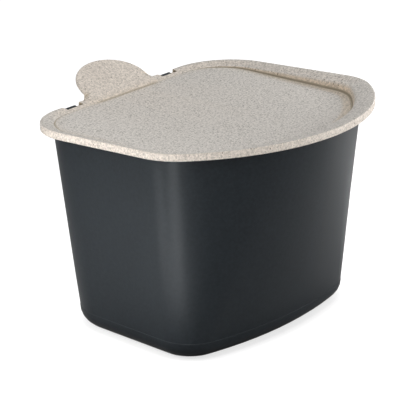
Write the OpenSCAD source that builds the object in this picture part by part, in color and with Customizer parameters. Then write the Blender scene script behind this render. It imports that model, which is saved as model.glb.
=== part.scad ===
// Compost caddy: a tapered bin with a D-shaped plan and a one-piece lid that tips open on it.
// Millimetres. X runs along the hinge, -Y is the bowed front and +Z is up.
// The origin is under the middle of the closed caddy, on the surface that it stands on.

/* [Lid outline] */
// Width of the lid across its back corners
lid_back_w = 243; // [220:1:290]
// Width of the lid across its front corners
lid_front_w = 248; // [225:1:300]
// Distance of the straight back edge behind the centre
lid_back = 93.5; // [84:0.5:115]
// Distance of the bow's foremost point in front of the centre
lid_front = 122; // [108:0.5:148]
// How far the bow stands forward of the front corners
lid_bow = 37.5; // [30:0.5:45]
// Radius of the back corners in plan
lid_back_r = 47; // [40:0.5:56]
// Radius of the front corners in plan
lid_front_r = 45; // [38:0.5:54]

/* [Rim] */
// Height of the lid's outer edge at the hinge side
rim_h = 165; // [120:1:210]
// Rise of the rim towards the front for each millimetre
rim_rise = 0.05; // [0:0.005:0.08]
// Depth of the lid's skirt
skirt_h = 5.7; // [5:0.1:8]
// Thickness of the lid
lid_t = 1.4; // [1.2:0.1:2]

/* [Lid recess] */
// Width of the dished rim at the sides
recess_side = 12.2; // [10:0.1:16]
// Width of the dished rim at the back
recess_back = 8.9; // [8:0.1:11]
// Width of the dished rim at the front corners
recess_front = 12.3; // [10:0.1:16]
// How much less than the lid's outline the recess bows forward
recess_bow_less = 4.3; // [0:0.1:8]
// How much smaller than the lid's the recess's back corner radius is
recess_back_r_less = 9.6; // [6:0.1:14]
// How much smaller than the lid's the recess's front corner radius is
recess_front_r_less = 11.2; // [6:0.1:14]
// Fall of the dished rim from its outer edge to the recess
rim_fall = 2.8; // [1.5:0.1:3.5]
// Depth of the level panel below the outer edge at the hinge side
panel_depth = 2.45; // [2:0.05:3.5]
// Run of the recess wall for each millimetre of its depth
wall_run = 0.35; // [0.1:0.05:0.6]
// Rounding of the recess wall's upper edge
shoulder = 1.5; // [0.5:0.1:2.5]

/* [Push tab] */
// Width of the tab
tab_w = 74; // [50:0.2:84]
// Slope of the tab in degrees
tab_angle = 25.6; // [15:0.1:35]
// Distance from the tab's root line to its widest place, along the slope
tab_centre = 16; // [13:0.5:22]
// Distance from its widest place to its tip, along the slope
tab_crown = 26.8; // [18:0.2:34]
// Distance of the root line in front of the lid's back edge
tab_root = 9.5; // [9:0.1:12]
// Thickness of the tab
tab_t = 2.4; // [1.8:0.1:3.2]
// Width of the blend between the rim and each side of the tab
tab_blend = 6.7; // [4:0.1:8]

/* [Bin] */
// Gap between the recess's wall and the mouth at the sides, level with the skirt's lower edge
side_gap = 2.33; // [0.6:0.01:3]
// The same at the front corners
front_gap = 0.93; // [0.6:0.01:2]
// How far the mouth's back face stands behind the recess's back edge
mouth_behind = 0.5; // [0:0.1:1.5]
// How much further than the recess the mouth bows forward
mouth_bow_more = 3; // [0:0.1:5]
// How much larger than the recess's the mouth's back corner radius is
mouth_back_r_more = 5.1; // [2:0.1:8]
// How much larger than the recess's the mouth's front corner radius is
mouth_front_r_more = 5.7; // [2:0.1:8]
// Width across the back corners above the base rounding
base_back_w = 190; // [150:1:216]
// Width across the front corners above the base rounding
base_front_w = 202; // [160:1:220]
// Distance of the back wall behind the centre, above the base rounding
base_back = 73; // [60:0.5:80]
// Distance of the front wall's foremost point in front of the centre, there
base_front = 76.4; // [62:0.5:96]
// How far the front wall bows forward, there
base_bow = 8.7; // [4:0.1:20]
// Plan radius of the back corners, there
base_back_r = 36; // [28:0.5:44]
// Plan radius of the front corners, there
base_front_r = 30; // [24:0.5:38]
// Radius of the rounding between the walls and the base
base_round = 14.6; // [8:0.1:18]
// How far that rounding stands proud of the walls at the mould's parting line
base_step = 0.25; // [0:0.05:0.5]
// Wall thickness
wall = 1.6; // [1.3:0.1:1.8]
// Wall thickness at the mouth
mouth_t = 1; // [0.8:0.1:1.2]
// Gap between the underside of the dished rim and the mouth's edge
rim_gap = 0.4; // [0.2:0.05:0.8]
// Gap between the lid's level panel and the mouth's edge at the hinge side
panel_gap = 0.2; // [0.1:0.05:0.5]
// Hollow of the front face at half height
front_hollow = 0.6; // [0:0.1:1.5]
// Width of the ring that the bin stands on
foot_w = 5; // [3:0.5:8]
// Height of the base panel above the foot ring
foot_h = 1.2; // [0.6:0.1:2.5]

/* [Hinge] */
// Width of a lug
lug_w = 11; // [8:0.5:16]
// Gap between a lug and its notch's left end
lug_left_gap = 0.6; // [0.4:0.1:1.5]
// Gap between a lug and its notch's right end
lug_right_gap = 6.4; // [4:0.1:8]
// Radius of each notch's rounded left corner
notch_round = 4.6; // [2:0.1:4.8]
// Distance between the tab's blends and the notches
tab_clear = 4.3; // [3:0.1:8]
// Radius of a lug's eye
lug_r = 2.4; // [2.1:0.1:2.6]
// Distance of the hinge axis in front of the lid's back edge
axis_in = 2.1; // [1.9:0.05:2.4]
// Depth of the hinge axis below the lid's outer edge
axis_depth = 3.35; // [3.1:0.05:3.6]
// Radius of the hinge pins
pin_r = 1.2; // [1:0.05:1.4]
// Gap between a pin and its bore
pin_gap = 0.05; // [0.02:0.01:0.1]
// Length of a pin inside its bore
pin_grip = 7; // [4:0.5:8]
// Gap between the lug's eye and the lid's notch
notch_gap = 0.4; // [0.3:0.05:0.8]
// Depth of the gusset's foot below the lid's outer edge
gusset_h = 16; // [12:0.5:24]

/* [Hidden] */

// How far apart two faces are set so that they fuse cleanly
fuse = 0.05;

lid_colour = [0.75, 0.72, 0.69];
bin_colour = [0.2, 0.21, 0.22];

// Steps round each back corner
BACK_STEPS = 16;
// Shares of the wall's height at which it is shaped between the base and the skirt
WALL_SHARES = [0.17, 0.34, 0.5, 0.66, 0.83];
// Directions, in degrees from +X, in which every outline has a point on its front half
FRONT_TURNS = concat([for (a = [-3:-4.75:-60]) a], [for (a = [-62.5:-2.5:-90]) a]);

panel_z = rim_h - panel_depth;
floor_t = 2;
floor_z = foot_h + floor_t;
lid_corner = lid_front - lid_bow;
recess_bow = lid_bow - recess_bow_less;
recess_back_r = lid_back_r - recess_back_r_less;
recess_front_r = lid_front_r - recess_front_r_less;
// The lid's thickness measured level through the recess wall, and how far outside
// that wall's top face the mouth's outer face stands when the two just touch
lid_slant_t = lid_t / cos(atan(wall_run));
mouth_out = lid_slant_t + mouth_t - wall_run * (skirt_h - rim_fall);
mouth_inset = recess_side - mouth_out - side_gap;
mouth_y = lid_back - recess_back + mouth_behind;
mouth_depth = rim_fall + lid_t + rim_gap;
// The mouth's edge starts to dip this far in front of the lid's back edge, over this run
dip_in = 33;
dip_run = 10;
// Depths below the mouth's edge where the wall is still thin, and where it is full
thin_to = 4;
full_from = 16;
base_corner = base_front - base_bow;

axis_y = lid_back - axis_in;
axis_z = rim_h - axis_depth;
notch_y = axis_y - lug_r - notch_gap;
notch_w = lug_left_gap + lug_w + lug_right_gap;
notch_half = notch_w / 2;
notch_x = tab_w / 2 + tab_blend + tab_clear + notch_half;
lug_shift = (lug_right_gap - lug_left_gap) / 2;
cheek_set = 1.6;
cheek_t = 2;
cheek_r = axis_in - 0.1;

tab_rise = tan(tab_angle);
tab_y = lid_back - tab_root;
tab_thick = tab_t / cos(tab_angle);

// ---- Plan outlines ----
// An outline is a list of [x, y, nx, ny]: a point and its outward normal, clockwise from above.

function on_arc(centre, radius, a) =
    [centre.x + radius * cos(a), centre.y + radius * sin(a), cos(a), sin(a)];

function mirrored(half) = [
    for (i = [len(half) - 2:-1:0]) [-half[i][0], half[i][1], -half[i][2], half[i][3]]
];

// A straight back, two sides, four round corners, and a front that bows by bow.
// corner is the distance of the front corners' foremost points in front of the centre.
function d_outline(back_w, front_w, back, corner, bow, back_r, front_r) =
    let (
        cb = [back_w / 2 - back_r, back - back_r],
        cf = [front_w / 2 - front_r, front_r - corner],
        reach = corner + bow - front_r,
        bow_y = (cf * cf - reach * reach) / (2 * (reach + cf.y)),
        bow_r = bow_y + corner + bow,
        meet = -atan2(bow_y - cf.y, cf.x),
        d = cb - cf,
        side = atan2(d.y, d.x) - acos((front_r - back_r) / norm(d)),
        half = concat(
            [for (i = [0:BACK_STEPS]) on_arc(cb, back_r, 90 + (side - 90) * i / BACK_STEPS)],
            [on_arc(cf, front_r, side)],
            [for (a = FRONT_TURNS)
                a > meet ? on_arc(cf, front_r, a) : on_arc([0, bow_y], bow_r, a)]
        )
    )
    concat(half, mirrored(half));

lid_edge = d_outline(lid_back_w, lid_front_w, lid_back, lid_corner, lid_bow,
    lid_back_r, lid_front_r);

recess_edge = d_outline(lid_back_w - 2 * recess_side, lid_front_w - 2 * recess_side,
    lid_back - recess_back, lid_corner - recess_front, recess_bow,
    recess_back_r, recess_front_r);

mouth_edge = d_outline(lid_back_w - 2 * mouth_inset, lid_front_w - 2 * mouth_inset,
    mouth_y, lid_corner - recess_front + mouth_out + front_gap,
    recess_bow + mouth_bow_more, recess_back_r + mouth_back_r_more,
    recess_front_r + mouth_front_r_more);

base_edge = d_outline(base_back_w, base_front_w, base_back, base_corner, base_bow,
    base_back_r, base_front_r);

COUNT = len(lid_edge);

// Height of the plane of the lid's outer edge
function rim_z(y) = rim_h + rim_rise * (lid_back - y);

// The outline moved inwards by inset, at a depth below the plane of the lid's edge
function rim_ring(outline, inset, depth) = [
    for (p = outline)
        let (x = p[0] - inset * p[2], y = p[1] - inset * p[3])
        [x, y, rim_z(y) - depth]
];

function level_ring(outline, inset, z) = [
    for (p = outline) [p[0] - inset * p[2], p[1] - inset * p[3], z]
];

function between(a, b, t) = [for (i = [0:len(a) - 1]) a[i] * (1 - t) + b[i] * t];

// A closed skin through a list of rings, from the first ring's underside to the last ring's top
module skin(rings) {
    n = len(rings[0]);
    points = [for (ring = rings) each ring];
    sides = [
        for (j = [0:len(rings) - 2], i = [0:n - 1])
            let (a = j * n + i, b = j * n + (i + 1) % n)
            each [[a, b, b + n], [a, b + n, a + n]]
    ];
    first = [for (i = [n - 1:-1:0]) i];
    last = [for (i = [0:n - 1]) (len(rings) - 1) * n + i];
    polyhedron(points = points, faces = concat([first], sides, [last]), convexity = 10);
}

// ---- Bin ----

function smooth(t) =
    let (c = max(0, min(1, t)))
    c * c * (3 - 2 * c);

// Height of the mouth's edge: it dips at the hinge side to pass under the lid's level panel
function mouth_z(y) =
    let (
        low = panel_z - lid_t - panel_gap,
        high = rim_z(y) - mouth_depth
    )
    min(high, low + (high - low) * smooth((lid_back - dip_in - y) / dip_run));

// The wall at share s of the way from the base rounding to the skirt's lower edge,
// moved inwards by inset; s may pass 1 to reach the mouth's edge
function wall_ring(s, inset) = [
    for (i = [0:COUNT - 1])
        let (
            b = base_edge[i],
            m = mouth_edge[i],
            low = [b[0] - inset * b[2], b[1] - inset * b[3], base_round],
            top = [m[0] - inset * m[2], m[1] - inset * m[3], rim_z(m[1]) - skirt_h],
            dent = front_hollow * 4 * s * (1 - s) * max(0, -m[3]),
            p = low * (1 - s) + top * s
        )
        [p.x - dent * m[2], p.y - dent * m[3], p.z]
];

// A ring near the mouth's edge, moved inwards by inset and down from the edge
function edge_ring(inset, down) = [
    for (i = [0:COUNT - 1])
        let (
            b = base_edge[i],
            m = mouth_edge[i],
            z = mouth_z(m[1]) - down,
            skirt_z = rim_z(m[1]) - skirt_h,
            s = (z - base_round) / (skirt_z - base_round),
            low = [b[0] - inset * b[2], b[1] - inset * b[3]],
            top = [m[0] - inset * m[2], m[1] - inset * m[3]],
            p = low * (1 - s) + top * s
        )
        [p.x, p.y, z]
];

module bin_shell() {
    inner_round = base_round - wall;
    inner_rise = base_round - floor_z;
    edge_round = 0.35;
    skin(concat(
        [
            level_ring(base_edge, base_round + foot_w + foot_h, foot_h),
            level_ring(base_edge, base_round + foot_w, 0)
        ],
        [for (a = [90:-15:0])
            level_ring(base_edge, base_round * (1 - cos(a)), base_round * (1 - sin(a)))],
        [wall_ring(0, base_step)],
        [for (s = WALL_SHARES) wall_ring(s, 0)],
        [
            edge_ring(0, thin_to),
            edge_ring(0, edge_round),
            edge_ring(0.3 * edge_round, 0.3 * edge_round),
            edge_ring(edge_round, 0),
            edge_ring(mouth_t - edge_round, 0),
            edge_ring(mouth_t - 0.3 * edge_round, 0.3 * edge_round),
            edge_ring(mouth_t, edge_round),
            edge_ring(mouth_t + 0.1, thin_to),
            edge_ring(wall, full_from)
        ],
        [for (i = [len(WALL_SHARES) - 1:-1:0]) wall_ring(WALL_SHARES[i], wall)],
        [wall_ring(0, wall)],
        [for (a = [15:15:90])
            level_ring(base_edge, wall + inner_round * (1 - cos(a)),
                base_round - inner_rise * sin(a))]
    ));
}

// A lug with its gusset: the eye stands behind the mouth and the gusset runs down the back wall
module lug() {
    edge_z = mouth_z(mouth_y);
    rotate([90, 0, 90])
        translate([0, 0, -lug_w / 2])
            linear_extrude(lug_w) {
                translate([axis_y, axis_z])
                    circle(lug_r, $fn = 64);
                polygon([
                    [axis_y, axis_z - 0.1],
                    [mouth_y + 1, edge_z - 0.1],
                    [mouth_y - mouth_t / 2, edge_z - 0.1],
                    [mouth_y - 1.6, rim_h - gusset_h],
                    [axis_y + lug_r * sin(50), axis_z - lug_r * cos(50)]
                ]);
            }
}

module bin() {
    color(bin_colour)
        difference() {
            union() {
                bin_shell();
                for (side = [-1, 1])
                    translate([side * notch_x - lug_shift, 0, 0])
                        lug();
            }
            for (side = [-1, 1])
                translate([side * notch_x - lug_shift, axis_y, axis_z])
                    rotate([0, 90, 0])
                        cylinder(h = lug_w + 2, r = pin_r + pin_gap, center = true, $fn = 64);
        }
}

// ---- Lid ----

// Depth of the recess below the rim's inner edge, at a point of that edge
function recess_drop(y) = max(0.05, rim_z(y) - rim_fall - panel_z);

// The recess wall: u runs from 0 at the rim to 1 at the panel; out moves it outwards and down
function recess_ring(u, out, down) = [
    for (p = recess_edge)
        let (
            drop = recess_drop(p[1]),
            round = min(shoulder, drop),
            k = -round + (round + wall_run * drop) * sin(90 * u) - out,
            x = p[0] - k * p[2],
            y = p[1] - k * p[3]
        )
        [x, y, panel_z + drop * cos(90 * u) - down]
];

module lid_shell() {
    edge_round = 0.8;
    skin(concat(
        [for (u = [1:-0.25:0]) recess_ring(u, lid_slant_t * u, lid_t)],
        [
            rim_ring(lid_edge, lid_t + 1, lid_t + 0.25),
            rim_ring(lid_edge, lid_t, lid_t + 0.8),
            rim_ring(lid_edge, lid_t, skirt_h - 0.3),
            rim_ring(lid_edge, lid_t - 0.3, skirt_h),
            rim_ring(lid_edge, 0.4, skirt_h),
            rim_ring(lid_edge, 0.1, skirt_h - 0.3),
            rim_ring(lid_edge, 0, skirt_h - 0.9)
        ],
        [for (a = [0:22.5:90])
            rim_ring(lid_edge, edge_round * (1 - cos(a)), edge_round * (1 - sin(a)))],
        [for (t = [0.35, 0.7])
            between(rim_ring(lid_edge, edge_round, 0), recess_ring(0, 0, 0), t)],
        [for (u = [0:0.125:1]) recess_ring(u, 0, 0)]
    ));
}

// ---- Push tab ----

crease_run = 1.2;
flare_run = 5.5;

// Height of the tab's slope at y, with a hollow curve between it and the level panel
function slope_z(y) =
    let (t = y - tab_y)
    t < -crease_run ? panel_z
        : t < crease_run ? panel_z + tab_rise * pow(t + crease_run, 2) / (4 * crease_run)
        : panel_z + tab_rise * t;

// Height of the plain rim's top face behind the recess
function plain_z(y) =
    let (
        low_y = lid_back - recess_back,
        high_y = lid_back - 0.8,
        t = max(0, min(1, (y - low_y) / (high_y - low_y)))
    )
    panel_z + (rim_h - 0.1 - panel_z) * t - (y > high_y ? 0.5 : 0);

// Half the tab's width at y
function ear_half(y) =
    let (e = ((y - tab_y) / cos(tab_angle) - tab_centre) / tab_crown)
    tab_w / 2 * sqrt(max(0, 1 - e * e));

function tab_half(y) =
    y < lid_back ? ear_half(lid_back) + tab_blend
        : ear_half(y) + tab_blend * pow(max(0, 1 - (y - lid_back) / flare_run), 2.2);

// The tab's top face: its slope in the middle, falling softly to the rim at both sides
function tab_top(x, y) =
    let (
        side = smooth((tab_half(y) - abs(x)) / (tab_blend + 1)),
        fade = y < lid_back ? 1 : pow(max(0, 1 - (y - lid_back) / flare_run), 1.5),
        fall = (slope_z(y) - plain_z(y) + 0.1) * fade
    )
    slope_z(y) - fall * (1 - side);

function tab_under(x, y) =
    y < lid_back - 0.9 ? plain_z(y) - lid_t / 2
        : min(slope_z(y) - tab_thick, tab_top(x, y) - 1.3);

// Half of the tab's outline in plan, from the middle of its root to its tip
function tab_edge() =
    let (
        root = tab_y - crease_run,
        w = tab_half(lid_back),
        from = asin((tab_root / cos(tab_angle) - tab_centre) / tab_crown)
    )
    concat(
        [for (x = [0:w / 6:w * 0.84]) [x, root]],
        [[w * 0.9, root + 0.4], [w * 0.96, root + 1.6], [w, root + 4]],
        [[w, (root + 4 + lid_back) / 2], [w, lid_back - 0.9]],
        [for (a = [from:-from / 8:-0.01])
            let (y = tab_y + cos(tab_angle) * (tab_centre + tab_crown * sin(a)))
            [tab_half(y), y]],
        [for (a = [0:7.5:90])
            let (y = tab_y + cos(tab_angle) * (tab_centre + tab_crown * sin(a)))
            [tab_half(y), y]]
    );

// The tab's outline scaled about its middle by k, moved in by inset, at share h of its thickness
function tab_ring(edge, k, inset, h) =
    let (mid = tab_y + tab_centre * cos(tab_angle))
    [for (p = edge)
        let (
            d = [p.x, p.y - mid],
            q = d * max(0, k - inset / norm(d)),
            x = q.x,
            y = mid + q.y,
            top = tab_top(x, y),
            low = tab_under(x, y)
        )
        [x, y, (top + low) / 2 + h * (top - low) / 2]];

module tab() {
    half = tab_edge();
    edge = concat(
        [for (i = [len(half) - 1:-1:1]) half[i]],
        [for (i = [0:len(half) - 2]) [-half[i].x, half[i].y]]
    );
    r = tab_t / 2;
    skin(concat(
        [for (k = [0.1, 0.5, 0.8]) tab_ring(edge, k, 0, -1)],
        [for (a = [-90:22.5:90]) tab_ring(edge, 1, r * (1 - cos(a)), sin(a))],
        [for (k = [0.94, 0.9, 0.85, 0.8, 0.74, 0.66, 0.5, 0.1]) tab_ring(edge, k, 0, 1)]
    ));
}

// Plan of a notch with a round left corner, about its middle
module notch() {
    r = notch_round;
    translate([-notch_half, notch_y])
        square([notch_w, 20]);
    difference() {
        translate([-notch_half - r, lid_back - r])
            square([r + 0.02, r + 2]);
        translate([-notch_half - r, lid_back - r])
            circle(r, $fn = 64);
    }
}

// The skirt's return along the notch's round corner
module notch_return() {
    r = notch_round;
    translate([-notch_half - r, lid_back - r, rim_h - skirt_h + 0.02])
        linear_extrude(skirt_h - lid_t - fuse) {
            intersection() {
                difference() {
                    circle(r - fuse, $fn = 60);
                    circle(r - lid_t, $fn = 60);
                }
                translate([-0.3, 0.02])
                    square(r + 1);
            }
        }
}

// A pin with the cheek that carries it behind the notch's right end; it points towards -X
module pin() {
    rotate([90, 0, 90]) {
        translate([0, 0, cheek_set])
            linear_extrude(cheek_t) {
                translate([axis_y, axis_z])
                    circle(cheek_r, $fn = 48);
                translate([axis_y - cheek_r, axis_z])
                    square([2 * cheek_r - 0.2, axis_depth - lid_t - fuse]);
            }
        translate([axis_y, axis_z, -lug_right_gap - pin_grip])
            cylinder(h = lug_right_gap + pin_grip + cheek_set + 1, r = pin_r, $fn = 64);
    }
}

module lid() {
    color(lid_colour)
        union() {
            difference() {
                union() {
                    lid_shell();
                    tab();
                }
                for (side = [-1, 1])
                    translate([side * notch_x, 0, rim_h - 15])
                        linear_extrude(30)
                            notch();
            }
            for (side = [-1, 1]) {
                translate([side * notch_x, 0, 0])
                    notch_return();
                translate([side * notch_x + notch_half, 0, 0])
                    pin();
            }
        }
}

bin();
lid();
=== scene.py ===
import math

import bmesh
import bpy
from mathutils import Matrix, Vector


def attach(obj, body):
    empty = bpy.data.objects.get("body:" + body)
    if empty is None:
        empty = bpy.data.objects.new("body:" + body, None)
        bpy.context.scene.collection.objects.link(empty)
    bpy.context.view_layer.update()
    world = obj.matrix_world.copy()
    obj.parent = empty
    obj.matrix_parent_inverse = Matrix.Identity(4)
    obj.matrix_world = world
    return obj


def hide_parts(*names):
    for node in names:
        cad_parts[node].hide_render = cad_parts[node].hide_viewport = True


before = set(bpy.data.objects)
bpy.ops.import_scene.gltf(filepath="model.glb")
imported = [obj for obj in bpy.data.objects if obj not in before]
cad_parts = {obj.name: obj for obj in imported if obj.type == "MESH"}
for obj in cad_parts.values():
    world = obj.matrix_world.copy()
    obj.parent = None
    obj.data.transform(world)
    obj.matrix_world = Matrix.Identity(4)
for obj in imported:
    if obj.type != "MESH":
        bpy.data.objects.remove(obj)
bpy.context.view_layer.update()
scene = bpy.context.scene

# ---------------------------------------------------------------------------
# Bin
# A tapered shell moulded in one piece from charcoal plastic, with a rounded
# base, a foot ring and two hinge lugs. The mould's spark-eroded face leaves a
# very fine, even grain with a dull sheen.
# ---------------------------------------------------------------------------

# Edges that turn by more than this many degrees stay sharp.
sharp_turn = 32


def moulding(node, name, body):
    """A welded copy of a moulded part, shaded smooth except along its creases."""
    mesh = bpy.data.meshes.new(name)
    bm = bmesh.new()
    bm.from_mesh(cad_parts[node].data)
    bmesh.ops.remove_doubles(bm, verts=bm.verts, dist=2e-6)
    bmesh.ops.dissolve_degenerate(bm, edges=bm.edges, dist=1e-6)
    for face in bm.faces:
        face.smooth = True
        face.material_index = 0
    for edge in bm.edges:
        if len(edge.link_faces) == 2:
            edge.smooth = edge.calc_face_angle(0.0) < math.radians(sharp_turn)
    bm.to_mesh(mesh)
    bm.free()
    piece = bpy.data.objects.new(name, mesh)
    scene.collection.objects.link(piece)
    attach(piece, body)
    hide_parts(node)
    return piece


def node_at(tree, kind, x, y):
    node = tree.nodes.new(kind)
    node.location = (x, y)
    return node


def ramp(tree, x, y, start, end, low=0.0, high=1.0, smooth=False):
    """A value that goes from low to high as its input goes from start to end."""
    node = node_at(tree, "ShaderNodeMapRange", x, y)
    if smooth:
        node.interpolation_type = "SMOOTHSTEP"
    node.inputs["From Min"].default_value = start
    node.inputs["From Max"].default_value = end
    node.inputs["To Min"].default_value = low
    node.inputs["To Max"].default_value = high
    return node


def maths(tree, x, y, operation, second=None):
    """A step of arithmetic, whose second number may be a fixed one."""
    node = node_at(tree, "ShaderNodeMath", x, y)
    node.operation = operation
    if second is not None:
        node.inputs[1].default_value = second
    return node


def colours(tree, x, y, over=None, mode="MIX"):
    """Two colours by a share: sockets 0, 6 and 7 are the share, the base and what lies over it."""
    node = node_at(tree, "ShaderNodeMix", x, y)
    node.data_type = "RGBA"
    node.blend_type = mode
    if over is not None:
        node.inputs[7].default_value = (*over, 1.0)
    return node


def new_group(name, inputs, outputs):
    """An empty node group with named sockets, and its own input and output nodes."""
    group = bpy.data.node_groups.new(name, "ShaderNodeTree")
    for way, sockets in (("INPUT", inputs), ("OUTPUT", outputs)):
        for socket, kind in sockets.items():
            group.interface.new_socket(socket, in_out=way, socket_type=kind)
    entry = node_at(group, "NodeGroupInput", -700, 0)
    way_out = node_at(group, "NodeGroupOutput", 300, 0)
    return group, entry, way_out


def grain_group():
    """Eroded mould grain: a height that changes over the surface, and a mask of its peaks."""
    group, inputs, outputs = new_group(
        "moulded_grain",
        {"Coordinates": "NodeSocketVector", "Grain Scale": "NodeSocketFloat"},
        {"Height": "NodeSocketFloat", "Peaks": "NodeSocketFloat"},
    )
    pits = node_at(group, "ShaderNodeTexVoronoi", -450, 120)
    pits.feature = "SMOOTH_F1"
    pits.inputs["Smoothness"].default_value = 0.6
    fine = node_at(group, "ShaderNodeTexNoise", -450, -160)
    fine.inputs["Detail"].default_value = 3.0
    fine.inputs["Roughness"].default_value = 0.6
    blend = node_at(group, "ShaderNodeMix", -180, 60)
    blend.data_type = "FLOAT"
    blend.inputs[0].default_value = 0.5
    peaks = ramp(group, 40, -120, 0.35, 0.65)
    link = group.links.new
    for texture in (pits, fine):
        link(inputs.outputs["Coordinates"], texture.inputs["Vector"])
        link(inputs.outputs["Grain Scale"], texture.inputs["Scale"])
    link(pits.outputs["Distance"], blend.inputs[2])
    link(fine.outputs[0], blend.inputs[3])
    link(blend.outputs[0], outputs.inputs["Height"])
    link(blend.outputs[0], peaks.inputs["Value"])
    link(peaks.outputs["Result"], outputs.inputs["Peaks"])
    return group


def new_plastic(name, ior, grain_scale, grain_depth):
    """A plastic with its moulded grain in place: material, tree, shader, coordinates and grain."""
    material = bpy.data.materials.new(name)
    material.use_nodes = True
    tree = material.node_tree
    shader = tree.nodes["Principled BSDF"]
    shader.inputs["IOR"].default_value = ior
    where = node_at(tree, "ShaderNodeTexCoord", -1700, 0)
    grain = node_at(tree, "ShaderNodeGroup", -900, -760)
    grain.node_tree = moulded_grain
    grain.inputs["Grain Scale"].default_value = grain_scale
    bump = node_at(tree, "ShaderNodeBump", -300, -300)
    bump.inputs["Strength"].default_value = grain_depth
    bump.inputs["Distance"].default_value = 0.00010
    link = tree.links.new
    link(where.outputs["Object"], grain.inputs["Coordinates"])
    link(grain.outputs["Height"], bump.inputs["Height"])
    link(bump.outputs["Normal"], shader.inputs["Normal"])
    return material, tree, shader, where, grain


# Height of the line where the mould parts, in metres above the worktop.
parting_height = 0.0146


def charcoal_plastic():
    """Charcoal polypropylene with an eroded grain and slightly mottled sheen."""
    material, tree, shader, where, grain = new_plastic("charcoal_plastic", 1.49, 950.0, 0.2)
    link = tree.links.new
    shader.inputs["Specular IOR Level"].default_value = 0.3
    shader.inputs["Specular Tint"].default_value = (0.93, 0.97, 1.0, 1.0)
    mottle = node_at(tree, "ShaderNodeTexNoise", -900, 120)
    mottle.inputs["Scale"].default_value = 380.0
    mottle.inputs["Detail"].default_value = 2.0
    tint = colours(tree, -560, 220, (0.0206, 0.0260, 0.0313))
    tint.inputs[6].default_value = (0.0082, 0.0104, 0.0125, 1.0)
    flecks = colours(tree, -380, 220, mode="MULTIPLY")
    flecks.inputs[0].default_value = 0.10
    # The mould's parting line leaves a step, and a pale line is painted along the step as a
    # highlight.
    height = node_at(tree, "ShaderNodeSeparateXYZ", -900, 460)
    from_step = maths(tree, -720, 460, "SUBTRACT", parting_height)
    off_step = maths(tree, -560, 460, "ABSOLUTE")
    step_highlight = ramp(tree, -400, 460, 0.0007, 0.0002, high=0.75)
    step_highlighted = colours(tree, -200, 220, (0.0300, 0.0340, 0.0385))
    # Painted shade at the foot: the colour darkens from 9 mm above the worktop down to 3 mm.
    foot = ramp(tree, -400, 640, 0.009, 0.003)
    foot_shaded = colours(tree, -20, 220, (0.0070, 0.0082, 0.0096))
    dull = ramp(tree, -560, -60, 0.35, 0.65, 0.280, 0.300)
    link(where.outputs["Object"], mottle.inputs["Vector"])
    link(mottle.outputs[0], tint.inputs[0])
    link(tint.outputs[2], flecks.inputs[6])
    link(grain.outputs["Peaks"], flecks.inputs[7])
    link(where.outputs["Object"], height.inputs["Vector"])
    link(height.outputs["Z"], from_step.inputs[0])
    link(from_step.outputs[0], off_step.inputs[0])
    link(off_step.outputs[0], step_highlight.inputs["Value"])
    link(height.outputs["Z"], foot.inputs["Value"])
    link(flecks.outputs[2], step_highlighted.inputs[6])
    link(step_highlight.outputs["Result"], step_highlighted.inputs[0])
    link(step_highlighted.outputs[2], foot_shaded.inputs[6])
    link(foot.outputs["Result"], foot_shaded.inputs[0])
    link(foot_shaded.outputs[2], shader.inputs["Base Color"])
    link(mottle.outputs[0], dull.inputs["Value"])
    link(dull.outputs["Result"], shader.inputs["Roughness"])
    return material


moulded_grain = grain_group()
bin_piece = moulding("bin", "bin_moulding", "bin")
bin_piece.data.materials.clear()
bin_piece.data.materials.append(charcoal_plastic())

# ---------------------------------------------------------------------------
# Lid
# One moulding in cream plastic filled with plant fibre, with a dished rim, a
# sunk panel and a raised tab between two notches. Ground fibres and husks show
# through as fine grey and brown flecks.
# ---------------------------------------------------------------------------


def crease_group():
    """Masks of the part's own inner corners: deep ones, and shallow folds."""
    group, inputs, outputs = new_group(
        "inner_corners",
        {"Reach": "NodeSocketFloat"},
        {"Corner": "NodeSocketFloat", "Fold": "NodeSocketFloat"},
    )
    openness = node_at(group, "ShaderNodeAmbientOcclusion", -300, 0)
    openness.samples = 16
    openness.only_local = True
    corner = ramp(group, -60, 80, 0.93, 0.60, smooth=True)
    fold = ramp(group, -60, -160, 0.995, 0.94)
    link = group.links.new
    link(inputs.outputs["Reach"], openness.inputs["Distance"])
    link(openness.outputs["AO"], corner.inputs["Value"])
    link(openness.outputs["AO"], fold.inputs["Value"])
    link(corner.outputs["Result"], outputs.inputs["Corner"])
    link(fold.outputs["Result"], outputs.inputs["Fold"])
    return group


def rare_spots(tree, y, scale, edge, core, channel):
    """Spots at cells of one size, and which of them show: the size, the mask and the pick."""
    cells = node_at(tree, "ShaderNodeTexVoronoi", -1400, y)
    cells.inputs["Scale"].default_value = scale
    spot = ramp(tree, -1150, y, edge, core)
    lot = node_at(tree, "ShaderNodeSeparateColor", -1150, y - 180)
    shown = maths(tree, -950, y - 180, "GREATER_THAN")
    both = maths(tree, -760, y - 60, "MULTIPLY")
    link = tree.links.new
    link(cells.outputs["Distance"], spot.inputs["Value"])
    link(cells.outputs["Color"], lot.inputs["Color"])
    link(lot.outputs[channel], shown.inputs[0])
    link(spot.outputs["Result"], both.inputs[0])
    link(shown.outputs[0], both.inputs[1])
    return cells, shown, both


# Distance behind the middle of the bin where the tab rises from the lid, and the tab's half-width
# there over which the crease's painted shade shows, in metres.
tab_root = 0.0841
crease_ends, crease_full = 0.0390, 0.0300


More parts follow.
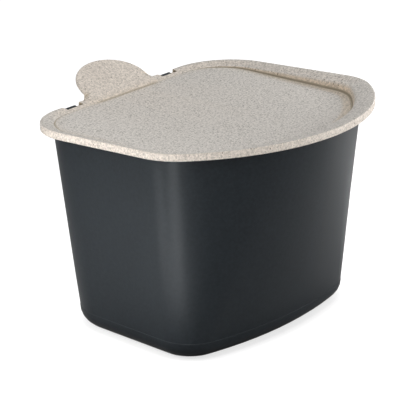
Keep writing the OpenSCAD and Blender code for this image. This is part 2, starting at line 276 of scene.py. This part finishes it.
def speckled_plastic():
    """Cream fibre-filled plastic: mottling, short fibres and dark husks, with painted warm light
    on faces that tip to the front or left and painted shade in its creases and inner corners.
    """
    material, tree, shader, where, grain = new_plastic("speckled_plastic", 1.48, 900.0, 0.25)
    link = tree.links.new

    # Painted warm light: faces that tip to the front or the left get a warmer colour, none on
    # level faces, and all of it past about 20 degrees.
    facing = node_at(tree, "ShaderNodeSeparateXYZ", -1500, 700)
    tipped = maths(tree, -1400, 820, "ADD")
    warm_light_share = ramp(tree, -1300, 700, -0.04, -0.33)

    cloud = node_at(tree, "ShaderNodeTexNoise", -1400, 420)
    cloud.inputs["Scale"].default_value = 560.0
    cloud.inputs["Detail"].default_value = 3.0
    cloud.inputs["Roughness"].default_value = 0.7
    cloud_mask = ramp(tree, -1150, 420, 0.36, 0.66)
    base = colours(tree, -900, 420, (0.473, 0.444, 0.410))
    base.inputs[6].default_value = (0.795, 0.753, 0.702, 1.0)

    # Fibres show half as much on faces that stand up as on level ones.
    fibre, fibre_rare, fibre_both = rare_spots(tree, 60, 720.0, 0.44, 0.24, "Red")
    fibre_rare.inputs[1].default_value = 0.55
    fibre_shown = ramp(tree, -950, 180, 0.86, 1.0, 0.50)
    fibre_seen = maths(tree, -660, 120, "MULTIPLY")
    fibred = colours(tree, -560, 320, (0.260, 0.240, 0.215))

    # More husks show on lying faces that tip to the left, at the end where the
    # mould fills last.
    husk, husk_rare, husk_both = rare_spots(tree, -360, 400.0, 0.27, 0.16, "Green")
    lying = ramp(tree, -1500, -720, 0.25, 0.60)
    fills_last = ramp(tree, -1500, -900, -0.05, -0.22)
    thin_skin = maths(tree, -1320, -720, "MULTIPLY")
    husk_share = ramp(tree, -1150, -720, 0.0, 1.0, 0.93, 0.64)
    husked = colours(tree, -300, 260, (0.165, 0.138, 0.105))
    warm_lit = colours(tree, -200, 460, (1.07, 1.02, 0.972), "MULTIPLY")

    # Painted shade in the crease at the tab's root.
    along = node_at(tree, "ShaderNodeSeparateXYZ", -1500, 980)
    to_root = maths(tree, -1300, 980, "SUBTRACT", tab_root)
    off_root = maths(tree, -1120, 980, "ABSOLUTE")
    in_root = ramp(tree, -940, 980, 0.0017, 0.0004, high=0.60, smooth=True)
    off_middle = maths(tree, -1120, 1140, "ABSOLUTE")
    in_width = ramp(tree, -940, 1140, crease_ends, crease_full, smooth=True)
    root_shade_share = maths(tree, -760, 1060, "MULTIPLY")
    root_shaded = colours(tree, -240, 360, (0.330, 0.270, 0.180))

    # Painted shade in the inner corners: widely in tan, then in a thin dark line at the crease.
    wide = node_at(tree, "ShaderNodeGroup", -560, 700)
    wide.node_tree = inner_corners
    wide.inputs["Reach"].default_value = 0.0100
    corner = node_at(tree, "ShaderNodeGroup", -560, 560)
    corner.node_tree = inner_corners
    corner.inputs["Reach"].default_value = 0.0020
    wide_corner_shade = colours(tree, -160, 260, (0.980, 0.910, 0.815), "MULTIPLY")
    fold_shade = colours(tree, -130, 260, (0.420, 0.355, 0.260))
    shaded = colours(tree, -60, 260, (0.330, 0.285, 0.220))
    dull = ramp(tree, -560, -160, 0.0, 1.0, 0.50, 0.60)

    for texture in (cloud, fibre, husk, along):
        link(where.outputs["Object"], texture.inputs["Vector"])
    link(where.outputs["Normal"], facing.inputs["Vector"])
    link(facing.outputs["X"], tipped.inputs[0])
    link(facing.outputs["Y"], tipped.inputs[1])
    link(tipped.outputs[0], warm_light_share.inputs["Value"])
    link(cloud.outputs[0], cloud_mask.inputs["Value"])
    link(facing.outputs["Z"], fibre_shown.inputs["Value"])
    link(fibre_both.outputs[0], fibre_seen.inputs[0])
    link(fibre_shown.outputs["Result"], fibre_seen.inputs[1])
    link(facing.outputs["Z"], lying.inputs["Value"])
    link(facing.outputs["X"], fills_last.inputs["Value"])
    link(lying.outputs["Result"], thin_skin.inputs[0])
    link(fills_last.outputs["Result"], thin_skin.inputs[1])
    link(thin_skin.outputs[0], husk_share.inputs["Value"])
    link(husk_share.outputs["Result"], husk_rare.inputs[1])
    link(along.outputs["Y"], to_root.inputs[0])
    link(to_root.outputs[0], off_root.inputs[0])
    link(off_root.outputs[0], in_root.inputs["Value"])
    link(along.outputs["X"], off_middle.inputs[0])
    link(off_middle.outputs[0], in_width.inputs["Value"])
    link(in_root.outputs["Result"], root_shade_share.inputs[0])
    link(in_width.outputs["Result"], root_shade_share.inputs[1])

    # Each colour lies over the one before it, by its own mask.
    link(cloud_mask.outputs["Result"], base.inputs[0])
    under = base
    for over, share in (
        (fibred, fibre_seen.outputs[0]),
        (husked, husk_both.outputs[0]),
        (warm_lit, warm_light_share.outputs["Result"]),
        (root_shaded, root_shade_share.outputs[0]),
        (wide_corner_shade, wide.outputs["Fold"]),
        (fold_shade, corner.outputs["Fold"]),
        (shaded, corner.outputs["Corner"]),
    ):
        link(under.outputs[2], over.inputs[6])
        link(share, over.inputs[0])
        under = over
    link(under.outputs[2], shader.inputs["Base Color"])
    link(cloud.outputs[0], dull.inputs["Value"])
    link(dull.outputs["Result"], shader.inputs["Roughness"])
    return material


inner_corners = crease_group()
lid_piece = moulding("lid", "lid_moulding", "lid")
lid_piece.data.materials.clear()
lid_piece.data.materials.append(speckled_plastic())

# ---------------------------------------------------------------------------
# Studio
# A plain white floor that keeps the caddy's shadow, a white surround, soft
# boxes round the caddy, and low lamps that brighten the floor at its sides.
# ---------------------------------------------------------------------------

floor_mesh = bpy.data.meshes.new("studio_floor")
bm = bmesh.new()
bmesh.ops.create_grid(bm, x_segments=1, y_segments=1, size=12.0)
bm.to_mesh(floor_mesh)
bm.free()
floor = bpy.data.objects.new("studio_floor", floor_mesh)
scene.collection.objects.link(floor)


def openness_at(tree, y, samples, reach):
    """How open the floor is at each place, out to the reach in metres."""
    node = node_at(tree, "ShaderNodeAmbientOcclusion", -760, y)
    node.samples = samples
    node.inputs["Distance"].default_value = reach
    return node


# The camera sees a white floor with a soft contact shadow. To the caddy the same
# floor is a grey card, which is darker close under it.
floor_paint = bpy.data.materials.new("studio_floor")
floor_paint.use_nodes = True
tree = floor_paint.node_tree
tree.nodes.remove(tree.nodes["Principled BSDF"])
path = node_at(tree, "ShaderNodeLightPath", -760, 0)
card = node_at(tree, "ShaderNodeBsdfDiffuse", -300, 200)
matt = node_at(tree, "ShaderNodeBsdfDiffuse", -300, 60)
matt.inputs["Color"].default_value = (0.25, 0.25, 0.25, 1.0)
near = openness_at(tree, -160, 16, 0.013)
open_floor = ramp(tree, -530, -160, 0.40, 0.97, 0.70, 0.95)
under = openness_at(tree, 320, 8, 0.030)
bounce = ramp(tree, -530, 320, 0.60, 0.98, 0.22, 0.35)
lift = node_at(tree, "ShaderNodeEmission", -300, -80)
shown = node_at(tree, "ShaderNodeAddShader", -60, 0)
either = node_at(tree, "ShaderNodeMixShader", 140, 100)
link = tree.links.new
link(under.outputs["AO"], bounce.inputs["Value"])
link(bounce.outputs["Result"], card.inputs["Color"])
link(near.outputs["AO"], open_floor.inputs["Value"])
link(open_floor.outputs["Result"], lift.inputs["Strength"])
link(matt.outputs[0], shown.inputs[0])
link(lift.outputs[0], shown.inputs[1])
link(path.outputs["Is Camera Ray"], either.inputs[0])
link(card.outputs[0], either.inputs[1])
link(shown.outputs[0], either.inputs[2])
link(either.outputs[0], tree.nodes["Material Output"].inputs["Surface"])
floor_mesh.materials.append(floor_paint)

# The surround shows white, and lights the caddy only faintly.
surround = bpy.data.worlds.new("studio_surround")
scene.world = surround
surround.use_nodes = True
tree = surround.node_tree
air = tree.nodes["Background"]
air.inputs["Color"].default_value = (1.0, 1.0, 1.0, 1.0)
path = node_at(tree, "ShaderNodeLightPath", -600, 0)
seen = maths(tree, -400, 0, "MAXIMUM")
level = ramp(tree, -200, 0, 0.0, 1.0, 0.06, 1.0)
link = tree.links.new
link(path.outputs["Is Camera Ray"], seen.inputs[0])
link(path.outputs["Is Transmission Ray"], seen.inputs[1])
link(seen.outputs[0], level.inputs["Value"])
link(level.outputs["Result"], air.inputs["Strength"])

# The point that the lamps and the camera are aimed at, in metres.
middle = Vector((-0.0002, 0.0025, 0.0844))


def direction(azimuth, elevation):
    """The way from the caddy to a lamp or camera; azimuth 0 is the front and 90 is +X."""
    a, e = math.radians(azimuth), math.radians(elevation)
    return Vector((math.sin(a) * math.cos(e), -math.cos(a) * math.cos(e), math.sin(e)))


def hang_lamp(name, shape, watts, place, turn):
    """An area lamp that lights the caddy but that the camera doesn't see."""
    lamp = bpy.data.lights.new(name, "AREA")
    lamp.shape = shape
    lamp.energy = watts
    holder = bpy.data.objects.new(name, lamp)
    holder.location = place
    holder.rotation_euler = turn
    holder.visible_camera = False
    scene.collection.objects.link(holder)
    return lamp


def soft_lamp(name, azimuth, elevation, distance, size, watts):
    """A square soft box that faces the caddy."""
    aim = direction(azimuth, elevation)
    turn = aim.to_track_quat("Z", "Y").to_euler()
    lamp = hang_lamp(name, "SQUARE", watts, middle + distance * aim, turn)
    lamp.size = size


def floor_lamp(name, place, size, watts, turn=0.0, spread=180.0):
    """A lamp that faces down and lights the floor beside the caddy."""
    lamp = hang_lamp(name, "RECTANGLE", watts, place, (0.0, 0.0, math.radians(turn)))
    lamp.size, lamp.size_y = size
    lamp.spread = math.radians(spread)


soft_lamp("rear_left_box", -140, 35, 1.0, 0.5, 1.20)
soft_lamp("left_high_box", -50, 60, 1.1, 0.5, 2.50)
soft_lamp("front_box", -20, 35, 1.0, 0.5, 1.25)
soft_lamp("front_right_box", 25, 12, 0.9, 0.4, 2.76)
soft_lamp("right_low_box", 50, 12, 0.9, 0.4, 2.85)
soft_lamp("right_box", 100, 35, 1.0, 0.5, 1.30)
soft_lamp("rear_box", 160, 45, 1.2, 0.8, 3.25)
floor_lamp("left_floor_lamp", (-0.38, -0.06, 0.30), (0.12, 0.12), 0.86)
floor_lamp("rear_left_floor_lamp", (-0.30, 0.10, 0.20), (0.12, 0.12), 0.88)
floor_lamp("right_floor_lamp", (0.35, -0.10, 0.25), (0.20, 0.20), 0.90)
# Strips that fan out from the front left corner, whose edge stands out in the
# corner's sheen.
corner_x, corner_y, strip_reach, strip_height = -0.103, -0.057, 0.25, 0.25
for turn, watts in ((-60.0, 0.16), (-68.0, 0.30), (-75.0, 0.86), (-110.0, 0.45)):
    away = math.radians(turn)
    place = (
        corner_x + strip_reach * math.sin(away),
        corner_y - strip_reach * math.cos(away),
        strip_height,
    )
    floor_lamp("corner_floor_lamp", place, (0.06, 0.30), watts, turn, 40.0)

# Long lens, a little above the caddy and to its left.
aim = direction(-50.8, 19.65)
reach = 2.195
camera = bpy.data.cameras.new("camera")
camera.sensor_width = 36.0
camera.lens = 243.17
camera.clip_end = 50.0
viewer = bpy.data.objects.new("camera", camera)
viewer.location = middle + reach * aim
viewer.rotation_euler = aim.to_track_quat("Z", "Y").to_euler()
scene.collection.objects.link(viewer)
scene.camera = viewer
scene.view_settings.view_transform = "Standard"
